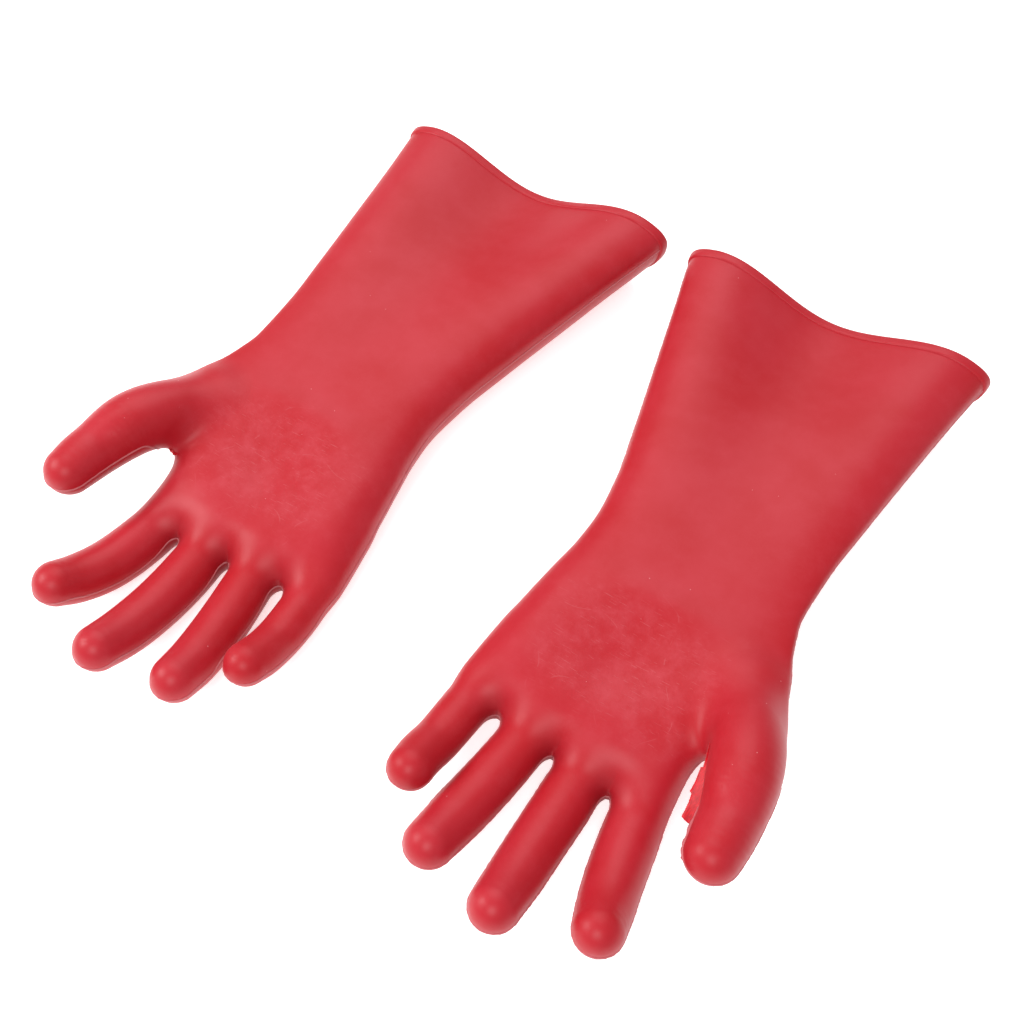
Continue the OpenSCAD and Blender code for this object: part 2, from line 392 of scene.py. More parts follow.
def mesh_skin():
    """The closed outer skin of one glove as vertices and quads."""
    axes = [np.arange(a, b, VOXEL) for a, b in zip(GRID_LOW, GRID_HIGH)]
    grid = np.stack(np.meshgrid(*axes, indexing="ij"), -1)
    field = skin_distance(grid, VOXEL).astype(np.float32)
    volume = openvdb.FloatGrid(background=3 * VOXEL)
    volume.copyFromArray(field)
    points, quads = volume.convertToQuads(isovalue=0.0)
    points = np.array(GRID_LOW) + points.astype(float) * VOXEL
    for _ in range(NEWTON_ROUNDS):
        points -= np.clip(beyond_skin(points), -LONGEST_STEP, LONGEST_STEP)
    return points, quads


# ---------------------------------------------------------------- cutting the skin into stretches
CUT_SLAB = 6.0                           # faces this near a cut's plane are looked at
NEAR_STALL = 4.0                         # faces this near a stall's skin belong to it


def cut(bm, centre, along, near):
    """Adds an edge loop where the plane meets the faces that near() picks by their middles."""
    middles = np.array([f.calc_center_median() for f in bm.faces])
    faces = [f for f, wanted in zip(bm.faces, near(middles)) if wanted]
    geometry = {v for f in faces for v in f.verts} | {e for f in faces for e in f.edges} | set(faces)
    bmesh.ops.bisect_plane(bm, geom=list(geometry), dist=1e-4, plane_co=centre, plane_no=along)


def label_of(middles):
    """The stretch that each face belongs to."""
    y = middles[:, 1]
    labels = np.where(y < SLEEVE_END, "sleeve", np.where(y < HAND_START, "wrist", "palm")).astype("<U16")
    nearest = np.full(len(middles), NEAR_STALL)
    for name, stall in stalls.items():
        away = stall.distance_near(middles)
        past = (middles - stall.leave[0]) @ stall.leave[1] > 0
        mine = past & (away < nearest)
        nearest[mine] = away[mine]
        outer = (middles - stall.share[0]) @ stall.share[1] > 0
        labels[mine & ~outer] = name + "_root"
        labels[mine & outer] = name + "_end"
    return labels


def cut_skin(points, quads):
    """Vertices, faces and each face's stretch, with the cuff open."""
    mesh = bpy.data.meshes.new("skin")
    mesh.from_pydata(points, [], quads.tolist())
    bm = bmesh.new()
    bm.from_mesh(mesh)
    bpy.data.meshes.remove(mesh)
    for y in (SLEEVE_START, SLEEVE_END, HAND_START):
        cut(bm, (0, y, 0), (0, 1, 0), lambda m: np.abs(m[:, 1] - y) < CUT_SLAB)
    for stall in stalls.values():
        for centre, along in (stall.leave, stall.share):
            cut(bm, centre, along,
                lambda m: (np.abs((m - centre) @ along) < CUT_SLAB) & (stall.distance_near(m) < NEAR_STALL))
    cap = [f for f in bm.faces if f.calc_center_median().y < SLEEVE_START]
    bmesh.ops.delete(bm, geom=cap, context="FACES")
    bm.verts.index_update()
    vertices = np.array([v.co for v in bm.verts])
    faces = [[v.index for v in f.verts] for f in bm.faces]
    bm.free()
    middles = np.array([vertices[f].mean(0) for f in faces])
    return vertices, faces, label_of(middles)


# ---------------------------------------------------------------- parting line
RIDGE_HALF = 0.6
RIDGE_HEIGHT = 0.42
RIDGE_SINK = 0.35
RIDGE_UNEVEN = 0.25
# Across the ridge: place in half widths, base below the skin, share of the ridge's height
RIDGE_PROFILE = ((-1, -RIDGE_SINK, 0), (-0.55, 0, 0.62), (0, 0, 1), (0.55, 0, 0.62), (1, -RIDGE_SINK, 0))
RIDGE_SHADE_LIFT = 0.15                  # the ridge is shaded as if it were rounder than its five points
RIDGE_SHADE_LEAN = 0.8
STALL_TAKES_OVER = (-6.0, 14.0)          # past a stall's start, the line turns from the palm's to the stall's
STALL_LETS_GO = (2.0, 9.0)               # and it does so only this near the stall's skin
TORN_EDGE = (299.0, 315.0)               # where the left thumb's inner line is ragged with torn flash
TORN_EXTRA = (0.1, 0.8)
SHORTEST_CHAIN = 4


def parting_height(p):
    """Height of the mould's parting line beside each point of the skin."""
    s = section_near(p[..., 1])
    u = (2 * p[..., 0] - s[..., 1] - s[..., 3]) / (s[..., 3] - s[..., 1])
    height = side_height(s, u) - sag_at(s, u)
    for stall in stalls.values():
        away, axis_height = stall.measure(p)
        along = (p - stall.leave[0]) @ stall.leave[1]
        share = smooth_step(*STALL_TAKES_OVER, along) * (1 - smooth_step(*STALL_LETS_GO, away))
        height = height + (axis_height - height) * share
    return height


def level_links(faces, vertices, level):
    """Where level changes sign on the faces' edges, and which of those places are linked by a face."""
    links = {}
    where = {}
    for face in faces:
        values = level[face]
        if values.min() >= 0 or values.max() < 0:
            continue
        hits = []
        for a, b in zip(face, face[1:] + face[:1]):
            if (level[a] < 0) != (level[b] < 0):
                key = (min(a, b), max(a, b))
                t = level[key[0]] / (level[key[0]] - level[key[1]])
                where[key] = vertices[key[0]] * (1 - t) + vertices[key[1]] * t
                hits.append(key)
        for a, b in zip(hits[::2], hits[1::2]):
            links.setdefault(a, []).append(b)
            links.setdefault(b, []).append(a)
    return links, where


def crossings(faces, vertices, level):
    """Chains of points where level changes sign over the faces, each with whether it is closed."""
    links, where = level_links(faces, vertices, level)
    chains = []
    left = set(links)
    for start in sorted(links, key=lambda k: (len(links[k]), k)):
        if start not in left:
            continue
        chain = [start]
        left.discard(start)
        while True:
            following = [k for k in links[chain[-1]] if k in left]
            if not following:
                break
            chain.append(following[0])
            left.discard(following[0])
        closed = len(chain) > 2 and chain[0] in links[chain[-1]]
        if len(chain) >= SHORTEST_CHAIN:
            chains.append((np.array([where[k] for k in chain]), closed))
    return chains


def ease_line(line, closed, rounds=6):
    """A chain of points with its small steps smoothed out, back on the skin."""
    for _ in range(rounds):
        if closed:
            line = (np.roll(line, 1, 0) + 2 * line + np.roll(line, -1, 0)) / 4
        else:
            line = np.vstack([line[:1], (line[:-2] + 2 * line[1:-1] + line[2:]) / 4, line[-1:]])
    return line - beyond_skin(line)


def ridge_height(line, side, stretch, random):
    """Height of the ridge at each point: nearly even, ragged where flash was torn off."""
    height = RIDGE_HEIGHT * (1 + RIDGE_UNEVEN * random.uniform(-1, 1, len(line)))
    if side > 0 and stretch == "thumb_end":
        inner = line[:, 0] < stalls["thumb"].tip[0]
        torn = inner & (line[:, 1] > TORN_EDGE[0]) & (line[:, 1] < TORN_EDGE[1])
        height = np.where(torn, height + random.uniform(*TORN_EXTRA, len(line)), height)
    return height


def sweep_ridge(line, closed, heights):
    """A thin ridge along a line on the skin: points, normals and quads."""
    normals = unit_rows(skin_gradient(line))
    along = np.gradient(line, axis=0)
    if closed:
        along = np.roll(line, -1, 0) - np.roll(line, 1, 0)
    across = np.cross(normals, along)
    across /= np.linalg.norm(across, axis=1)[:, None] + TINY
    points = [line + across * (RIDGE_HALF * x) + normals * (sink + heights[:, None] * lift)
              for x, sink, lift in RIDGE_PROFILE]
    shade = [unit_rows(normals * (lift + RIDGE_SHADE_LIFT) + across * (x * RIDGE_SHADE_LEAN))
             for x, _, lift in RIDGE_PROFILE]
    count, width = len(line), len(RIDGE_PROFILE)
    points = np.stack(points, 1).reshape(-1, 3)
    shade = np.stack(shade, 1).reshape(-1, 3)
    quads = []
    for k in range(count if closed else count - 1):
        a, b = k * width, (k + 1) % count * width
        for j in range(width):
            i = (j + 1) % width
            quads.append([a + j, b + j, b + i, a + i])
    if not closed:
        quads.append(list(range(width)))
        quads.append([(count - 1) * width + j for j in reversed(range(width))])
    return points, shade, quads


# ---------------------------------------------------------------- building meshes
SCUFF_MIDDLE = (3.0, 246.0)              # the palm is scuffed round here, on its upper face
SCUFF_SPREAD = (44.0, 34.0)
SCUFF_HEIGHTS = (24.0, 33.0)
# Forks between the stalls, where painted shade darkens the rubber low down
FORK_SHADE_PLACES = ((25, 299), (-4, 297), (-36.5, 294), (56, 264))
FORK_SHADE_SPREAD = (6.5, 8.0)
FORK_SHADE_HEIGHTS = (23.0, 33.0)


def add_mesh(name, points, faces, normals, side, marks=None):
    """A mesh object from a glove's own millimetres, with its own normals and its resting place stored."""
    world = to_world(points, side)
    if side > 0:
        faces = [f[::-1] for f in faces]
    mesh = bpy.data.meshes.new(name)
    mesh.from_pydata(world, [], faces)
    mesh.polygons.foreach_set("use_smooth", np.ones(len(faces), bool))
    rest = mesh.attributes.new("rest", "FLOAT_VECTOR", "POINT")
    rest.data.foreach_set("vector", np.asarray(points, np.float32).ravel())
    for mark, values in (marks or {}).items():
        layer = mesh.attributes.new(mark, "FLOAT", "POINT")
        layer.data.foreach_set("value", np.asarray(values, np.float32))
    if normals is not None:
        mesh.normals_split_custom_set_from_vertices(direction_to_world(normals, side))
    obj = bpy.data.objects.new(name, mesh)
    bpy.context.scene.collection.objects.link(obj)
    return obj


def palm_marks(points):
    """Where the palm is scuffed, and how near each point lies to a fork between stalls, low down, where the
    rubber gets painted shade.
    """
    x, y, z = points[:, 0], points[:, 1], points[:, 2]
    across, along = (x - SCUFF_MIDDLE[0]) / SCUFF_SPREAD[0], (y - SCUFF_MIDDLE[1]) / SCUFF_SPREAD[1]
    scuffed = np.exp(-across ** 4 - along ** 4) * smooth_step(*SCUFF_HEIGHTS, z)
    painted_fork_shade = np.zeros(len(points))
    for fx, fy in FORK_SHADE_PLACES:
        painted_fork_shade = np.maximum(painted_fork_shade, np.exp(-((x - fx) / FORK_SHADE_SPREAD[0]) ** 2 - ((y - fy) / FORK_SHADE_SPREAD[1]) ** 2))
    return {"scuffed": scuffed, "painted_fork_shade": painted_fork_shade * (1 - smooth_step(*FORK_SHADE_HEIGHTS, z))}


def closed_wall(vertices, faces, normals):
    """Some of the skin's faces, a lining one wall inside them, and the edges that join the two."""
    used = np.unique(np.concatenate([np.array(f) for f in faces]))
    count = len(used)
    place = np.full(len(vertices), -1)
    place[used] = np.arange(count)
    skin = [[int(place[i]) for i in f] for f in faces]
    edges = dict.fromkeys((a, b) for f in skin for a, b in zip(f, f[1:] + f[:1]))
    rim = [[b, a, a + count, b + count] for a, b in edges if (b, a) not in edges]
    lining = [[i + count for i in reversed(f)] for f in skin]
    points = [vertices[used], vertices[used] - WALL * normals[used]]
    return points, [normals[used], -normals[used]], skin + lining + rim


def build_stretch(side_name, stretch, vertices, faces, normals, part_level):
    """One stretch of a glove as a closed wall, with its length of parting line."""
    side = SIDES[side_name]
    points, shade, polygons = closed_wall(vertices, faces, normals)
    wall_size = sum(map(len, points))
    offset = wall_size
    random = np.random.default_rng(sum(map(ord, side_name + stretch)))
    for line, closed in crossings(faces, vertices, part_level):
        line = ease_line(line, closed)
        heights = ridge_height(line, side, stretch, random)
        ridge, ridge_shade, quads = sweep_ridge(line, closed, heights)
        points.append(ridge)
        shade.append(ridge_shade)
        polygons += [[i + offset for i in q] for q in quads]
        offset += len(ridge)
    points, shade = np.concatenate(points), np.concatenate(shade)
    marks = palm_marks(points)
    # the parting line's points, whose colour is lightened as a painted highlight
    marks["ridge_highlight"] = (np.arange(len(points)) >= wall_size).astype(float)
    return add_mesh(f"{side_name}_{stretch}_skin", points, polygons, shade, side, marks)


# ---------------------------------------------------------------- cuff bead
BEAD_SEED = 7
BEAD_AROUND = 300
RING_DETAIL = 4000
BEAD_WOBBLE = 0.18                       # how far the bead's far edge wanders along the sleeve
BEAD_WOBBLE_STEP = 12                    # points between two turns of that edge
BEAD_STEADY = 4.0                        # nearer the rim than this, the bead doesn't wander
PARTING_PROUD = 0.35                     # the mould's parting line crosses the bead at both sides
PARTING_SHARPNESS = 12
# Offset from the skin, and distance from the rim, round the bead's section
BEAD_PROFILE = (
    (-0.9, 6.4), (-0.05, 6.3), (0.42, 6.05), (0.78, 5.65), (0.95, 5.1), (1.0, 4.2), (1.0, 1.6), (0.92, 0.9),
    (0.66, 0.38), (0.22, 0.08), (-0.5, 0), (-1.6, 0), (-2.2, 0.12), (-2.6, 0.5), (-2.78, 1.2),
    (-2.8, 4.6), (-2.7, 5.4), (-2.4, 6.0), (-1.6, 6.4),
)


def section_ring(y, count):
    """Evenly spaced points round the skin at one distance from the rim, and their outward directions."""
    s = section_at(np.array(float(y)))
    turn = np.linspace(0, 2 * np.pi, RING_DETAIL + 1)[:-1]
    power = np.where(turn < np.pi, UPPER_POWER, LOWER_POWER)
    across = np.sign(np.cos(turn)) * np.abs(np.cos(turn)) ** (2 / power)
    up = np.sign(np.sin(turn)) * np.abs(np.sin(turn)) ** (2 / power)
    x = (s[1] + s[3]) / 2 + (s[3] - s[1]) / 2 * across
    side = side_height(s, across)
    sag = sag_at(s, across)
    low = (side - sag - s[7]) * FLOOR_PRESS
    z = np.where(up >= 0, side + (s[5] - side) * up, side + low * up) - sag
    z = smooth_max(z, np.full_like(z, s[7]), FLOOR_ROUNDING)
    ring = np.stack([x, z], -1)
    length = np.concatenate([[0], np.cumsum(np.linalg.norm(np.roll(ring, -1, 0) - ring, axis=1))])
    even = np.linspace(0, length[-1], count + 1)[:-1]
    closed = np.vstack([ring, ring[:1]])
    ring = np.stack([np.interp(even, length, closed[:, k]) for k in (0, 1)], -1)
    along = np.roll(ring, -1, 0) - np.roll(ring, 1, 0)
    return ring, unit_rows(np.stack([along[:, 1], -along[:, 0]], -1))


def build_bead(side_name):
    """The thickened rim, with the parting line crossing it at both sides."""
    side = SIDES[side_name]
    random = np.random.default_rng(BEAD_SEED + side)
    turns = BEAD_AROUND // BEAD_WOBBLE_STEP + 1
    wobble = np.interp(np.arange(BEAD_AROUND), np.arange(turns) * BEAD_WOBBLE_STEP,
                       random.uniform(-BEAD_WOBBLE, BEAD_WOBBLE, turns), period=BEAD_AROUND)
    rings = []
    for offset, y in BEAD_PROFILE:
        ring, outward = section_ring(y, BEAD_AROUND)
        proud = PARTING_PROUD * np.abs(outward[:, 0]) ** PARTING_SHARPNESS * (offset > 0)
        flat = ring + outward * (offset + proud)[:, None]
        rings.append(np.column_stack([flat[:, 0], y + wobble * (y > BEAD_STEADY), flat[:, 1]]))
    points = np.concatenate(rings)
    index = np.arange(len(points)).reshape(len(BEAD_PROFILE), BEAD_AROUND)
    below, beside = np.roll(index, -1, 0), np.roll(index, -1, 1)
    quads = np.stack([index, beside, np.roll(below, -1, 1), below], -1).reshape(-1, 4)
    return add_mesh(f"{side_name}_cuff_bead_rim", points, quads.tolist(), None, side)


# ---------------------------------------------------------------- torn flash
FLASH_SEED = 11
FLASH_SKIN = 0.55
FLASH_ROOT = 1.4                         # its thickness at the root and at the edge, in shares of FLASH_SKIN
FLASH_EDGE = 0.5
FLASH_SINK = 1.3                         # how deep the flash starts inside the glove's skin
FLASH_STEPS_PER_MM = 5
FLASH_LEAST_STEPS = 24
FLASH_ROWS = 7
FLASH_CURL = 1.1
FLASH_CURL_TURN = 7.0
FLASH_CURL_RAGGED = 0.04
FLASH_LEAST_HEIGHT = 0.15
FLASH_SEARCH_STEPS = 161
FLASH_SEARCH = 16.0                      # how far from its ground line the skin is looked for
# Share of the tear's length, and how far the torn skin stands out there
LEFT_TEAR = (
    (0, 0.3), (0.2, 0.9), (0.3, 1.2), (0.315, 2.2), (0.5, 3.6), (0.64, 5.2), (0.65, 4.3), (0.85, 4.6),
    (0.98, 5.0), (1, 3.2),
)
RIGHT_TEAR = ((0, 0.2), (0.12, 1.9), (0.3, 0.9), (0.48, 2.1), (0.62, 1.0), (0.8, 1.4), (1, 0.2))
# The ground line runs between two corners of the CAD piece's box, moved by a shift
TEARS = {
    "left": dict(profile=LEFT_TEAR, from_corner=(1, -0.4), to_corner=(1, 1), shift=(5, 0),
                 outward=(-1, 0, 0), ragged=0.08),
    "right": dict(profile=RIGHT_TEAR, from_corner=(0, 0), to_corner=(1, 0), shift=(0, -5),
                  outward=(0, 1, 0), ragged=0.15),
}


def signed_volume(points, faces):
    """Above 0 when the faces of a closed mesh point outwards."""
    total = 0.0
    for f in faces:
        for b, c in zip(f[1:-1], f[2:]):
            total += np.dot(points[f[0]], np.cross(points[b], points[c]))
    return total / 6


def ground_line(side_name, tear):
    """Evenly spaced points along a tear, level with the middle of the CAD piece."""
    corners = [to_glove(c, SIDES[side_name]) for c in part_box(f"{side_name}_thumb_flash")]
    low, high = np.min(corners, 0), np.max(corners, 0)
    size = high - low
    start = low[:2] + size[:2] * tear["from_corner"] + tear["shift"]
    end = low[:2] + size[:2] * tear["to_corner"] + tear["shift"]
    count = max(FLASH_LEAST_STEPS, int(np.linalg.norm(end - start) * FLASH_STEPS_PER_MM))
    share = np.linspace(0, 1, count)
    line = np.column_stack([start + (end - start) * s for s in share]).T
    return np.column_stack([line, np.full(count, (low[2] + high[2]) / 2)]), share


def build_flash(side_name):
    """The skin of rubber squeezed out at the parting line and partly torn away."""
    side = SIDES[side_name]
    tear = TEARS[side_name]
    outward = np.array(tear["outward"], float)
    ground, share = ground_line(side_name, tear)
    count = len(share)
    reach = np.linspace(0, FLASH_SEARCH, FLASH_SEARCH_STEPS)
    outside = skin_distance(ground[:, None] + reach[None, :, None] * outward) > 0
    leaving = reach[np.where(outside.any(1), outside.argmax(1), len(reach) - 1)]
    random = np.random.default_rng(FLASH_SEED + side)
    profile = np.array(tear["profile"])
    height = np.interp(share, profile[:, 0], profile[:, 1]) + tear["ragged"] * random.uniform(-1, 1, count)
    height = np.maximum(height, FLASH_LEAST_HEIGHT)
    top, under = [], []
    for t in np.linspace(0, 1, FLASH_ROWS):
        far = leaving - FLASH_SINK + (FLASH_SINK + height) * t
        middle = ground + far[:, None] * outward
        middle[:, 2] += FLASH_CURL * t * t * np.sin(share * FLASH_CURL_TURN + 1)
        middle[:, 2] += FLASH_CURL_RAGGED * t * random.uniform(-1, 1, count)
        half = FLASH_SKIN / 2 * (FLASH_ROOT + (FLASH_EDGE - FLASH_ROOT) * t)
        top.append(middle + [0, 0, half])
        under.append(middle - [0, 0, half])
    loop = np.stack(top + under[::-1])
    index = np.arange(len(loop) * count).reshape(len(loop), count)
    below = np.roll(index, -1, 0)
    quads = np.stack([index[:, :-1], below[:, :-1], below[:, 1:], index[:, 1:]], -1).reshape(-1, 4).tolist()
    quads.append(index[:, 0].tolist()[::-1])
    quads.append(index[:, -1].tolist())
    points = loop.reshape(-1, 3)
    if signed_volume(points, quads) < 0:
        quads = [q[::-1] for q in quads]
    return add_mesh(f"{side_name}_torn_flash", points, quads, None, side)


# ---------------------------------------------------------------- materials
class Graph:
    """A short way to add and join a material's nodes."""

    def __init__(self, name):
        self.material = bpy.data.materials.new(name)
        self.material.use_nodes = True
        self.nodes = self.material.node_tree.nodes
        self.links = self.material.node_tree.links
        self.nodes.clear()

    def feed(self, socket, value):
        """Joins a socket to value where it is another socket, and otherwise sets it."""
        if isinstance(value, bpy.types.NodeSocket):
            self.links.new(value, socket)
        else:
            socket.default_value = value

    def add(self, kind, values=None, **settings):
        node = self.nodes.new(kind)
        for key, value in settings.items():
            setattr(node, key, value)
        for key, value in (values or {}).items():
            self.feed(node.inputs[key], value)
        return node

    def math(self, operation, a, b=0.0, c=0.0):
        return self.add("ShaderNodeMath", {0: a, 1: b, 2: c}, operation=operation).outputs[0]

    def times(self, a, b):
        return self.math("MULTIPLY", a, b)

    def ramp(self, value, low, high, to_low=0.0, to_high=1.0):
        values = {"Value": value, "From Min": low, "From Max": high, "To Min": to_low, "To Max": to_high}
        return self.add("ShaderNodeMapRange", values, interpolation_type="SMOOTHSTEP").outputs["Result"]

    def noise(self, place, size_mm, detail=2.0, roughness=0.5, stretch=(1, 1, 1), turn=(0, 0, 0)):
        scale = [s / size_mm for s in stretch]
        mapping = {"Vector": place, "Rotation": turn, "Scale": scale}
        mapped = self.add("ShaderNodeMapping", mapping, vector_type="POINT").outputs[0]
        values = {"Vector": mapped, "Scale": 1.0, "Detail": detail, "Roughness": roughness}
        return self.add("ShaderNodeTexNoise", values).outputs["Fac"]

    def mix(self, share, a, b):
        node = self.add("ShaderNodeMix", data_type="RGBA")
        self.feed(node.inputs[0], share)
        self.feed(node.inputs[6], a)
        self.feed(node.inputs[7], b)
        return node.outputs[2]

    def attribute(self, name, output="Fac"):
        return self.add("ShaderNodeAttribute", attribute_name=name).outputs[output]

    def relief(self, layers):
        """A bump from pairs of a height and how many millimetres it stands."""
        height = None
        for layer, amount in layers:
            height = self.math("MULTIPLY_ADD", layer, amount, 0.0 if height is None else height)
        values = {"Strength": 1.0, "Distance": MM, "Height": height}
        return self.add("ShaderNodeBump", values).outputs[0]

    def finish(self, **values):
        """Ends the material in a Principled shader with these sockets, spaces written as underscores."""
        sockets = {key.replace("_", " "): value for key, value in values.items()}
        shader = self.add("ShaderNodeBsdfPrincipled", sockets)
        self.add("ShaderNodeOutputMaterial", {"Surface": shader.outputs[0]})
        return self.material


BODY_RED = (0.42, 0.013, 0.023, 1)
CLEAR_RED = (0.395, 0.006, 0.012, 1)
BLOOM_RED = (0.47, 0.045, 0.06, 1)
# dark red of the painted shade in the forks between the stalls
PAINTED_SHADE_RED = (0.17, 0.002, 0.006, 1)
# pale pink: real dust on the specks and scratches, and a painted highlight on the parting line
DUST_AND_HIGHLIGHT = (0.7, 0.35, 0.37, 1)
FLASH_RED = (0.62, 0.006, 0.018, 1)
RUBBER_ROUGHNESS = 0.4
BEAD_ROUGHNESS = 0.38
SCUFF_STRENGTH = 1.25
# Sizes of the rubber's patterns, and how far they stand out of it, in millimetres
PATTERN_SIZE = {"clouds": 48, "patches": 13, "powder": 1.6, "rubbed": 3.2, "arcs": 34, "breaks": 9,
                "grain": 0.55, "peel": 5, "waves": 26}
PATTERN_HEIGHT = {"grain": 0.005, "peel": 0.02, "waves": 0.22, "worn": -0.03, "rubbed": -0.09, "specks": 0.05}
# Direction in radians and spacing in millimetres of each set of scratches
SCRATCH_SETS = ((0.5, 9.0), (-0.35, 7.0), (1.25, 8.0), (2.2, 10.0))
ARC_STRENGTH = 0.55
SPECK_CELLS = 0.16                       # cells per millimetre
SPECK_RADIUS = 0.042                     # in cells
SPECK_DRAW = 0.86                        # only cells whose random draw is above this have a speck


def scratches(graph, place):
    """Fine broken lines in several directions, and fainter arcs."""
    lines = 0.0
    for turn, spacing in SCRATCH_SETS:
        streak = graph.noise(place, spacing, 1.0, 0.4, stretch=(1, 26, 5), turn=(0, 0, turn))
        lines = graph.math("MAXIMUM", lines, graph.ramp(streak, 0.73, 0.78))
    contour = graph.math("SUBTRACT", graph.noise(place, PATTERN_SIZE["arcs"], 0.0), 0.47)
    arcs = graph.ramp(graph.math("ABSOLUTE", contour), 0.001, 0.004, 1.0, 0.0)
    broken = graph.ramp(graph.noise(place, PATTERN_SIZE["breaks"], 1.0), 0.52, 0.6)
    return graph.math("MAXIMUM", lines, graph.times(graph.times(arcs, broken), ARC_STRENGTH))


def seldom_specks(graph, place):
    """Small round specks in a few of the cells."""
    cells = graph.add("ShaderNodeTexVoronoi", {"Vector": place, "Scale": SPECK_CELLS, "Randomness": 1.0})
    draw = graph.add("ShaderNodeSeparateColor", {0: cells.outputs["Color"]}).outputs[0]
    near = graph.math("LESS_THAN", cells.outputs["Distance"], SPECK_RADIUS)
    return graph.times(near, graph.math("GREATER_THAN", draw, SPECK_DRAW))


def rubber(name, roughness):
    """Satin vulcanised rubber with a faint powdery bloom, specks, scuffs and fine scratches, painted shade
    low in the forks and a painted highlight on the parting line.
    """
    graph = Graph(name)
    place = graph.attribute("rest", "Vector")
    scuffed = graph.attribute("scuffed")
    clouds = graph.noise(place, PATTERN_SIZE["clouds"], 4.0, 0.6)
    patches = graph.ramp(graph.noise(place, PATTERN_SIZE["patches"], 5.0, 0.65), 0.36, 0.72, 0.05, 0.55)
    powder = graph.ramp(graph.noise(place, PATTERN_SIZE["powder"], 2.0, 0.6), 0.3, 0.7, 0.7, 1.15)
    film = graph.times(graph.times(patches, powder), graph.ramp(scuffed, 0, 1, 0.3, SCUFF_STRENGTH))
    worn = graph.times(scratches(graph, place), graph.ramp(scuffed, 0.05, 0.9, 0.01, 0.12 * SCUFF_STRENGTH))
    rubbed = graph.ramp(graph.noise(place, PATTERN_SIZE["rubbed"], 3.0, 0.7), 0.42, 0.62)
    rubbed = graph.times(rubbed, graph.ramp(scuffed, 0.1, 0.9, 0.0, 0.3))
    specks = seldom_specks(graph, place)

    colour = graph.mix(graph.ramp(clouds, 0.32, 0.68), BODY_RED, CLEAR_RED)
    flecks = graph.times(specks, 0.5)
    # painted shade: darker red low in the forks between the stalls
    fork_shade = graph.times(graph.attribute("painted_fork_shade"), 0.5)
    # painted highlight: the parting line's ridge is tinted paler
    ridge = graph.times(graph.attribute("ridge_highlight"), 0.35)
    for share, tint in ((film, BLOOM_RED), (worn, DUST_AND_HIGHLIGHT), (rubbed, CLEAR_RED), (flecks, DUST_AND_HIGHLIGHT),
                        (fork_shade, PAINTED_SHADE_RED), (ridge, DUST_AND_HIGHLIGHT)):
        colour = graph.mix(share, colour, tint)

    dull = graph.math("MULTIPLY_ADD", film, 0.16, roughness)
    dull = graph.math("MULTIPLY_ADD", graph.math("SUBTRACT", clouds, 0.5), 0.12, dull)
    layers = {
        "grain": graph.noise(place, PATTERN_SIZE["grain"], 2.0, 0.6),
        "peel": graph.noise(place, PATTERN_SIZE["peel"], 2.0, 0.5),
        "waves": graph.noise(place, PATTERN_SIZE["waves"], 1.0, 0.4),
        "worn": worn, "rubbed": rubbed, "specks": specks,
    }
    bump = graph.relief([(layer, PATTERN_HEIGHT[key]) for key, layer in layers.items()])
    return graph.finish(Base_Color=colour, Roughness=dull, Normal=bump, IOR=1.5, Specular_IOR_Level=0.26,
                        Sheen_Weight=0.05, Sheen_Roughness=0.4, Sheen_Tint=(1.0, 0.72, 0.78, 1))


TEAR_STREAK_SIZE = 3.0
TEAR_STREAK_HEIGHT = 0.12


def torn_rubber(name):
    """The thin torn skin: brighter, since light passes through it."""
    graph = Graph(name)
    place = graph.attribute("rest", "Vector")
    streaks = graph.noise(place, TEAR_STREAK_SIZE, 3.0, 0.6, stretch=(3, 1, 1))
    colour = graph.mix(graph.ramp(streaks, 0.3, 0.7), FLASH_RED, CLEAR_RED)
    return graph.finish(Base_Color=colour, Roughness=graph.ramp(streaks, 0.2, 0.8, 0.38, 0.5),
                        Normal=graph.relief([(streaks, TEAR_STREAK_HEIGHT)]), Subsurface_Weight=0.15,
                        Subsurface_Radius=(1.0, 0.12, 0.1), Subsurface_Scale=MM)


MATERIALS = {slot: rubber(slot, RUBBER_ROUGHNESS)
             for slot in ("rubber_body", "rubber_hand", "rubber_fold", "rubber_stall")}
MATERIALS["rubber_bead"] = rubber("rubber_bead", BEAD_ROUGHNESS)
MATERIALS["rubber_flash"] = torn_rubber("rubber_flash")


def dress(obj, slot):
    """Gives a piece its material, which bears the slot's name."""
    obj.data.materials.append(MATERIALS[slot])


def make_skin():
    """What both gloves share: the skin's points, their outward directions and heights above the parting
    line, and each stretch's faces."""
    vertices, faces, labels = cut_skin(*mesh_skin())
    normals = unit_rows(skin_gradient(vertices))
    part_level = vertices[:, 2] - parting_height(vertices)
    stretches = {stretch: [f for f, label in zip(faces, labels) if label == stretch]
                 for stretch in sorted(set(labels))}
    return vertices, normals, part_level, stretches


def place_arm(side_name, piece):
    """The sleeve and the palm, each going with its body, and the wrist piece between them."""
    sleeve, hand = f"{side_name}_sleeve", f"{side_name}_hand"
    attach(piece["sleeve"], sleeve)
    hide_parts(sleeve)
    dress(piece["sleeve"], "rubber_body")
    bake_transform(piece["wrist"])
    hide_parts(f"{side_name}_wrist_fold")
    dress(piece["wrist"], "rubber_fold")
    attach(piece["palm"], hand)
    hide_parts(hand)
    dress(piece["palm"], "rubber_hand")


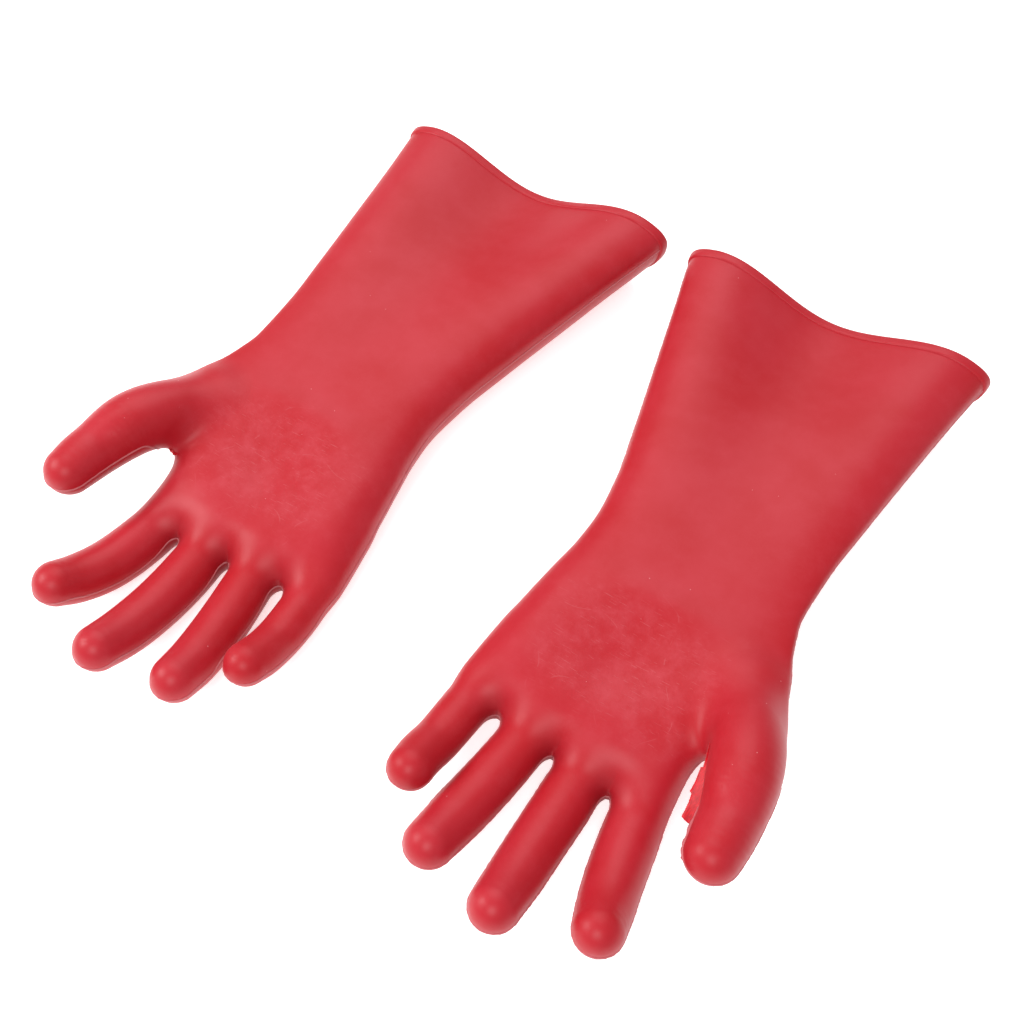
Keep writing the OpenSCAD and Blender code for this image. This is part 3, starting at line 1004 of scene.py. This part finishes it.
def place_stalls(side_name, piece):
    """Each stall's root piece and end piece, fixed where they lie, with the CAD parts they replace hidden."""
    for name, stall in stalls.items():
        base, tip = f"{side_name}_{name}_base", f"{side_name}_{name}_tip"
        root, outer = piece[name + "_root"], piece[name + "_end"]
        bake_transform(root)
        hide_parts(f"{side_name}_{name}_root_fold", base)
        dress(root, "rubber_stall")
        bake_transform(outer)
        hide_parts(f"{side_name}_{name}_middle_fold", tip)
        dress(outer, "rubber_stall")


def place_trim(side_name):
    """The bead at the rim, which goes with the sleeve, and the flash: the left one is fixed where it lies,
    the right one goes with the hand.
    """
    sleeve, hand = f"{side_name}_sleeve", f"{side_name}_hand"
    bead = build_bead(side_name)
    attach(bead, sleeve)
    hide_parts(f"{side_name}_cuff_bead")
    dress(bead, "rubber_bead")
    flash = build_flash(side_name)
    if side_name == "left":
        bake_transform(flash)
    else:
        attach(flash, hand)
    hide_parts(f"{side_name}_thumb_flash")
    dress(flash, "rubber_flash")


def build_glove(side_name, vertices, normals, part_level, stretches):
    piece = {stretch: build_stretch(side_name, stretch, vertices, faces, normals, part_level)
             for stretch, faces in stretches.items()}
    place_arm(side_name, piece)
    place_stalls(side_name, piece)
    place_trim(side_name)


# ---------------------------------------------------------------- floor, light and camera, in metres
FLOOR_SIZE = 6.0
FLOOR_GAP = 0.0002
FLOOR_GREY = 0.85
FLOOR_GLOW = 0.62                        # as on a lit table, so that shadows stay faint
WORLD_STRENGTH = 0.5
# Name, place, the point it faces, its two sides, power
SOFTBOXES = (
    ("back_left_softbox", (-0.46, 0.75, 1.35), (0, 0, 0), (1.5, 1.3), 15.0),
    ("front_left_softbox", (-1.05, -0.65, 0.95), (0, -0.1, 0), (0.65, 0.65), 13.0),
    ("front_right_softbox", (0.3, -0.95, 1.2), (0, -0.1, 0), (0.65, 0.65), 10.0),
)
CAMERA_PLACE = Vector((0.187, -0.2845, 0.5327))
CAMERA_TURN = math.radians(32.43)
CAMERA_DIP = math.radians(57.17)
CAMERA_LENS = 42.0
CAMERA_SENSOR = 36.0


def build_floor():
    half = FLOOR_SIZE / 2
    corners = [(x * half, y * half, -FLOOR_GAP) for x, y in ((-1, -1), (1, -1), (1, 1), (-1, 1))]
    mesh = bpy.data.meshes.new("floor")
    mesh.from_pydata(corners, [], [(0, 1, 2, 3)])
    floor = bpy.data.objects.new("floor", mesh)
    bpy.context.scene.collection.objects.link(floor)
    grey = (FLOOR_GREY, FLOOR_GREY, FLOOR_GREY, 1)
    mesh.materials.append(Graph("floor").finish(
        Base_Color=grey, Roughness=0.9, Specular_IOR_Level=0.2, Emission_Color=(1, 1, 1, 1),
        Emission_Strength=FLOOR_GLOW))


def add_softbox(name, place, target, size, power):
    light = bpy.data.lights.new(name, "AREA")
    light.shape = "RECTANGLE"
    light.size, light.size_y = size
    light.energy = power
    lamp = bpy.data.objects.new(name, light)
    lamp.location = place
    lamp.rotation_euler = (Vector(target) - Vector(place)).to_track_quat("-Z", "Y").to_euler()
    bpy.context.scene.collection.objects.link(lamp)


def light_studio():
    world = bpy.data.worlds.new("studio")
    world.use_nodes = True
    background = world.node_tree.nodes["Background"]
    background.inputs["Color"].default_value = (1, 1, 1, 1)
    background.inputs["Strength"].default_value = WORLD_STRENGTH
    bpy.context.scene.world = world
    for softbox in SOFTBOXES:
        add_softbox(*softbox)


def add_camera():
    camera = bpy.data.cameras.new("camera")
    camera.lens = CAMERA_LENS
    camera.sensor_width = CAMERA_SENSOR
    holder = bpy.data.objects.new("camera", camera)
    holder.location = CAMERA_PLACE
    level = math.cos(CAMERA_DIP)
    forward = Vector((-math.sin(CAMERA_TURN) * level, math.cos(CAMERA_TURN) * level, -math.sin(CAMERA_DIP)))
    holder.rotation_euler = forward.to_track_quat("-Z", "Y").to_euler()
    bpy.context.scene.collection.objects.link(holder)
    bpy.context.scene.camera = holder


skin = make_skin()
for side_name in SIDES:
    build_glove(side_name, *skin)
build_floor()
light_studio()
add_camera()
bpy.context.scene.view_settings.view_transform = "Standard"
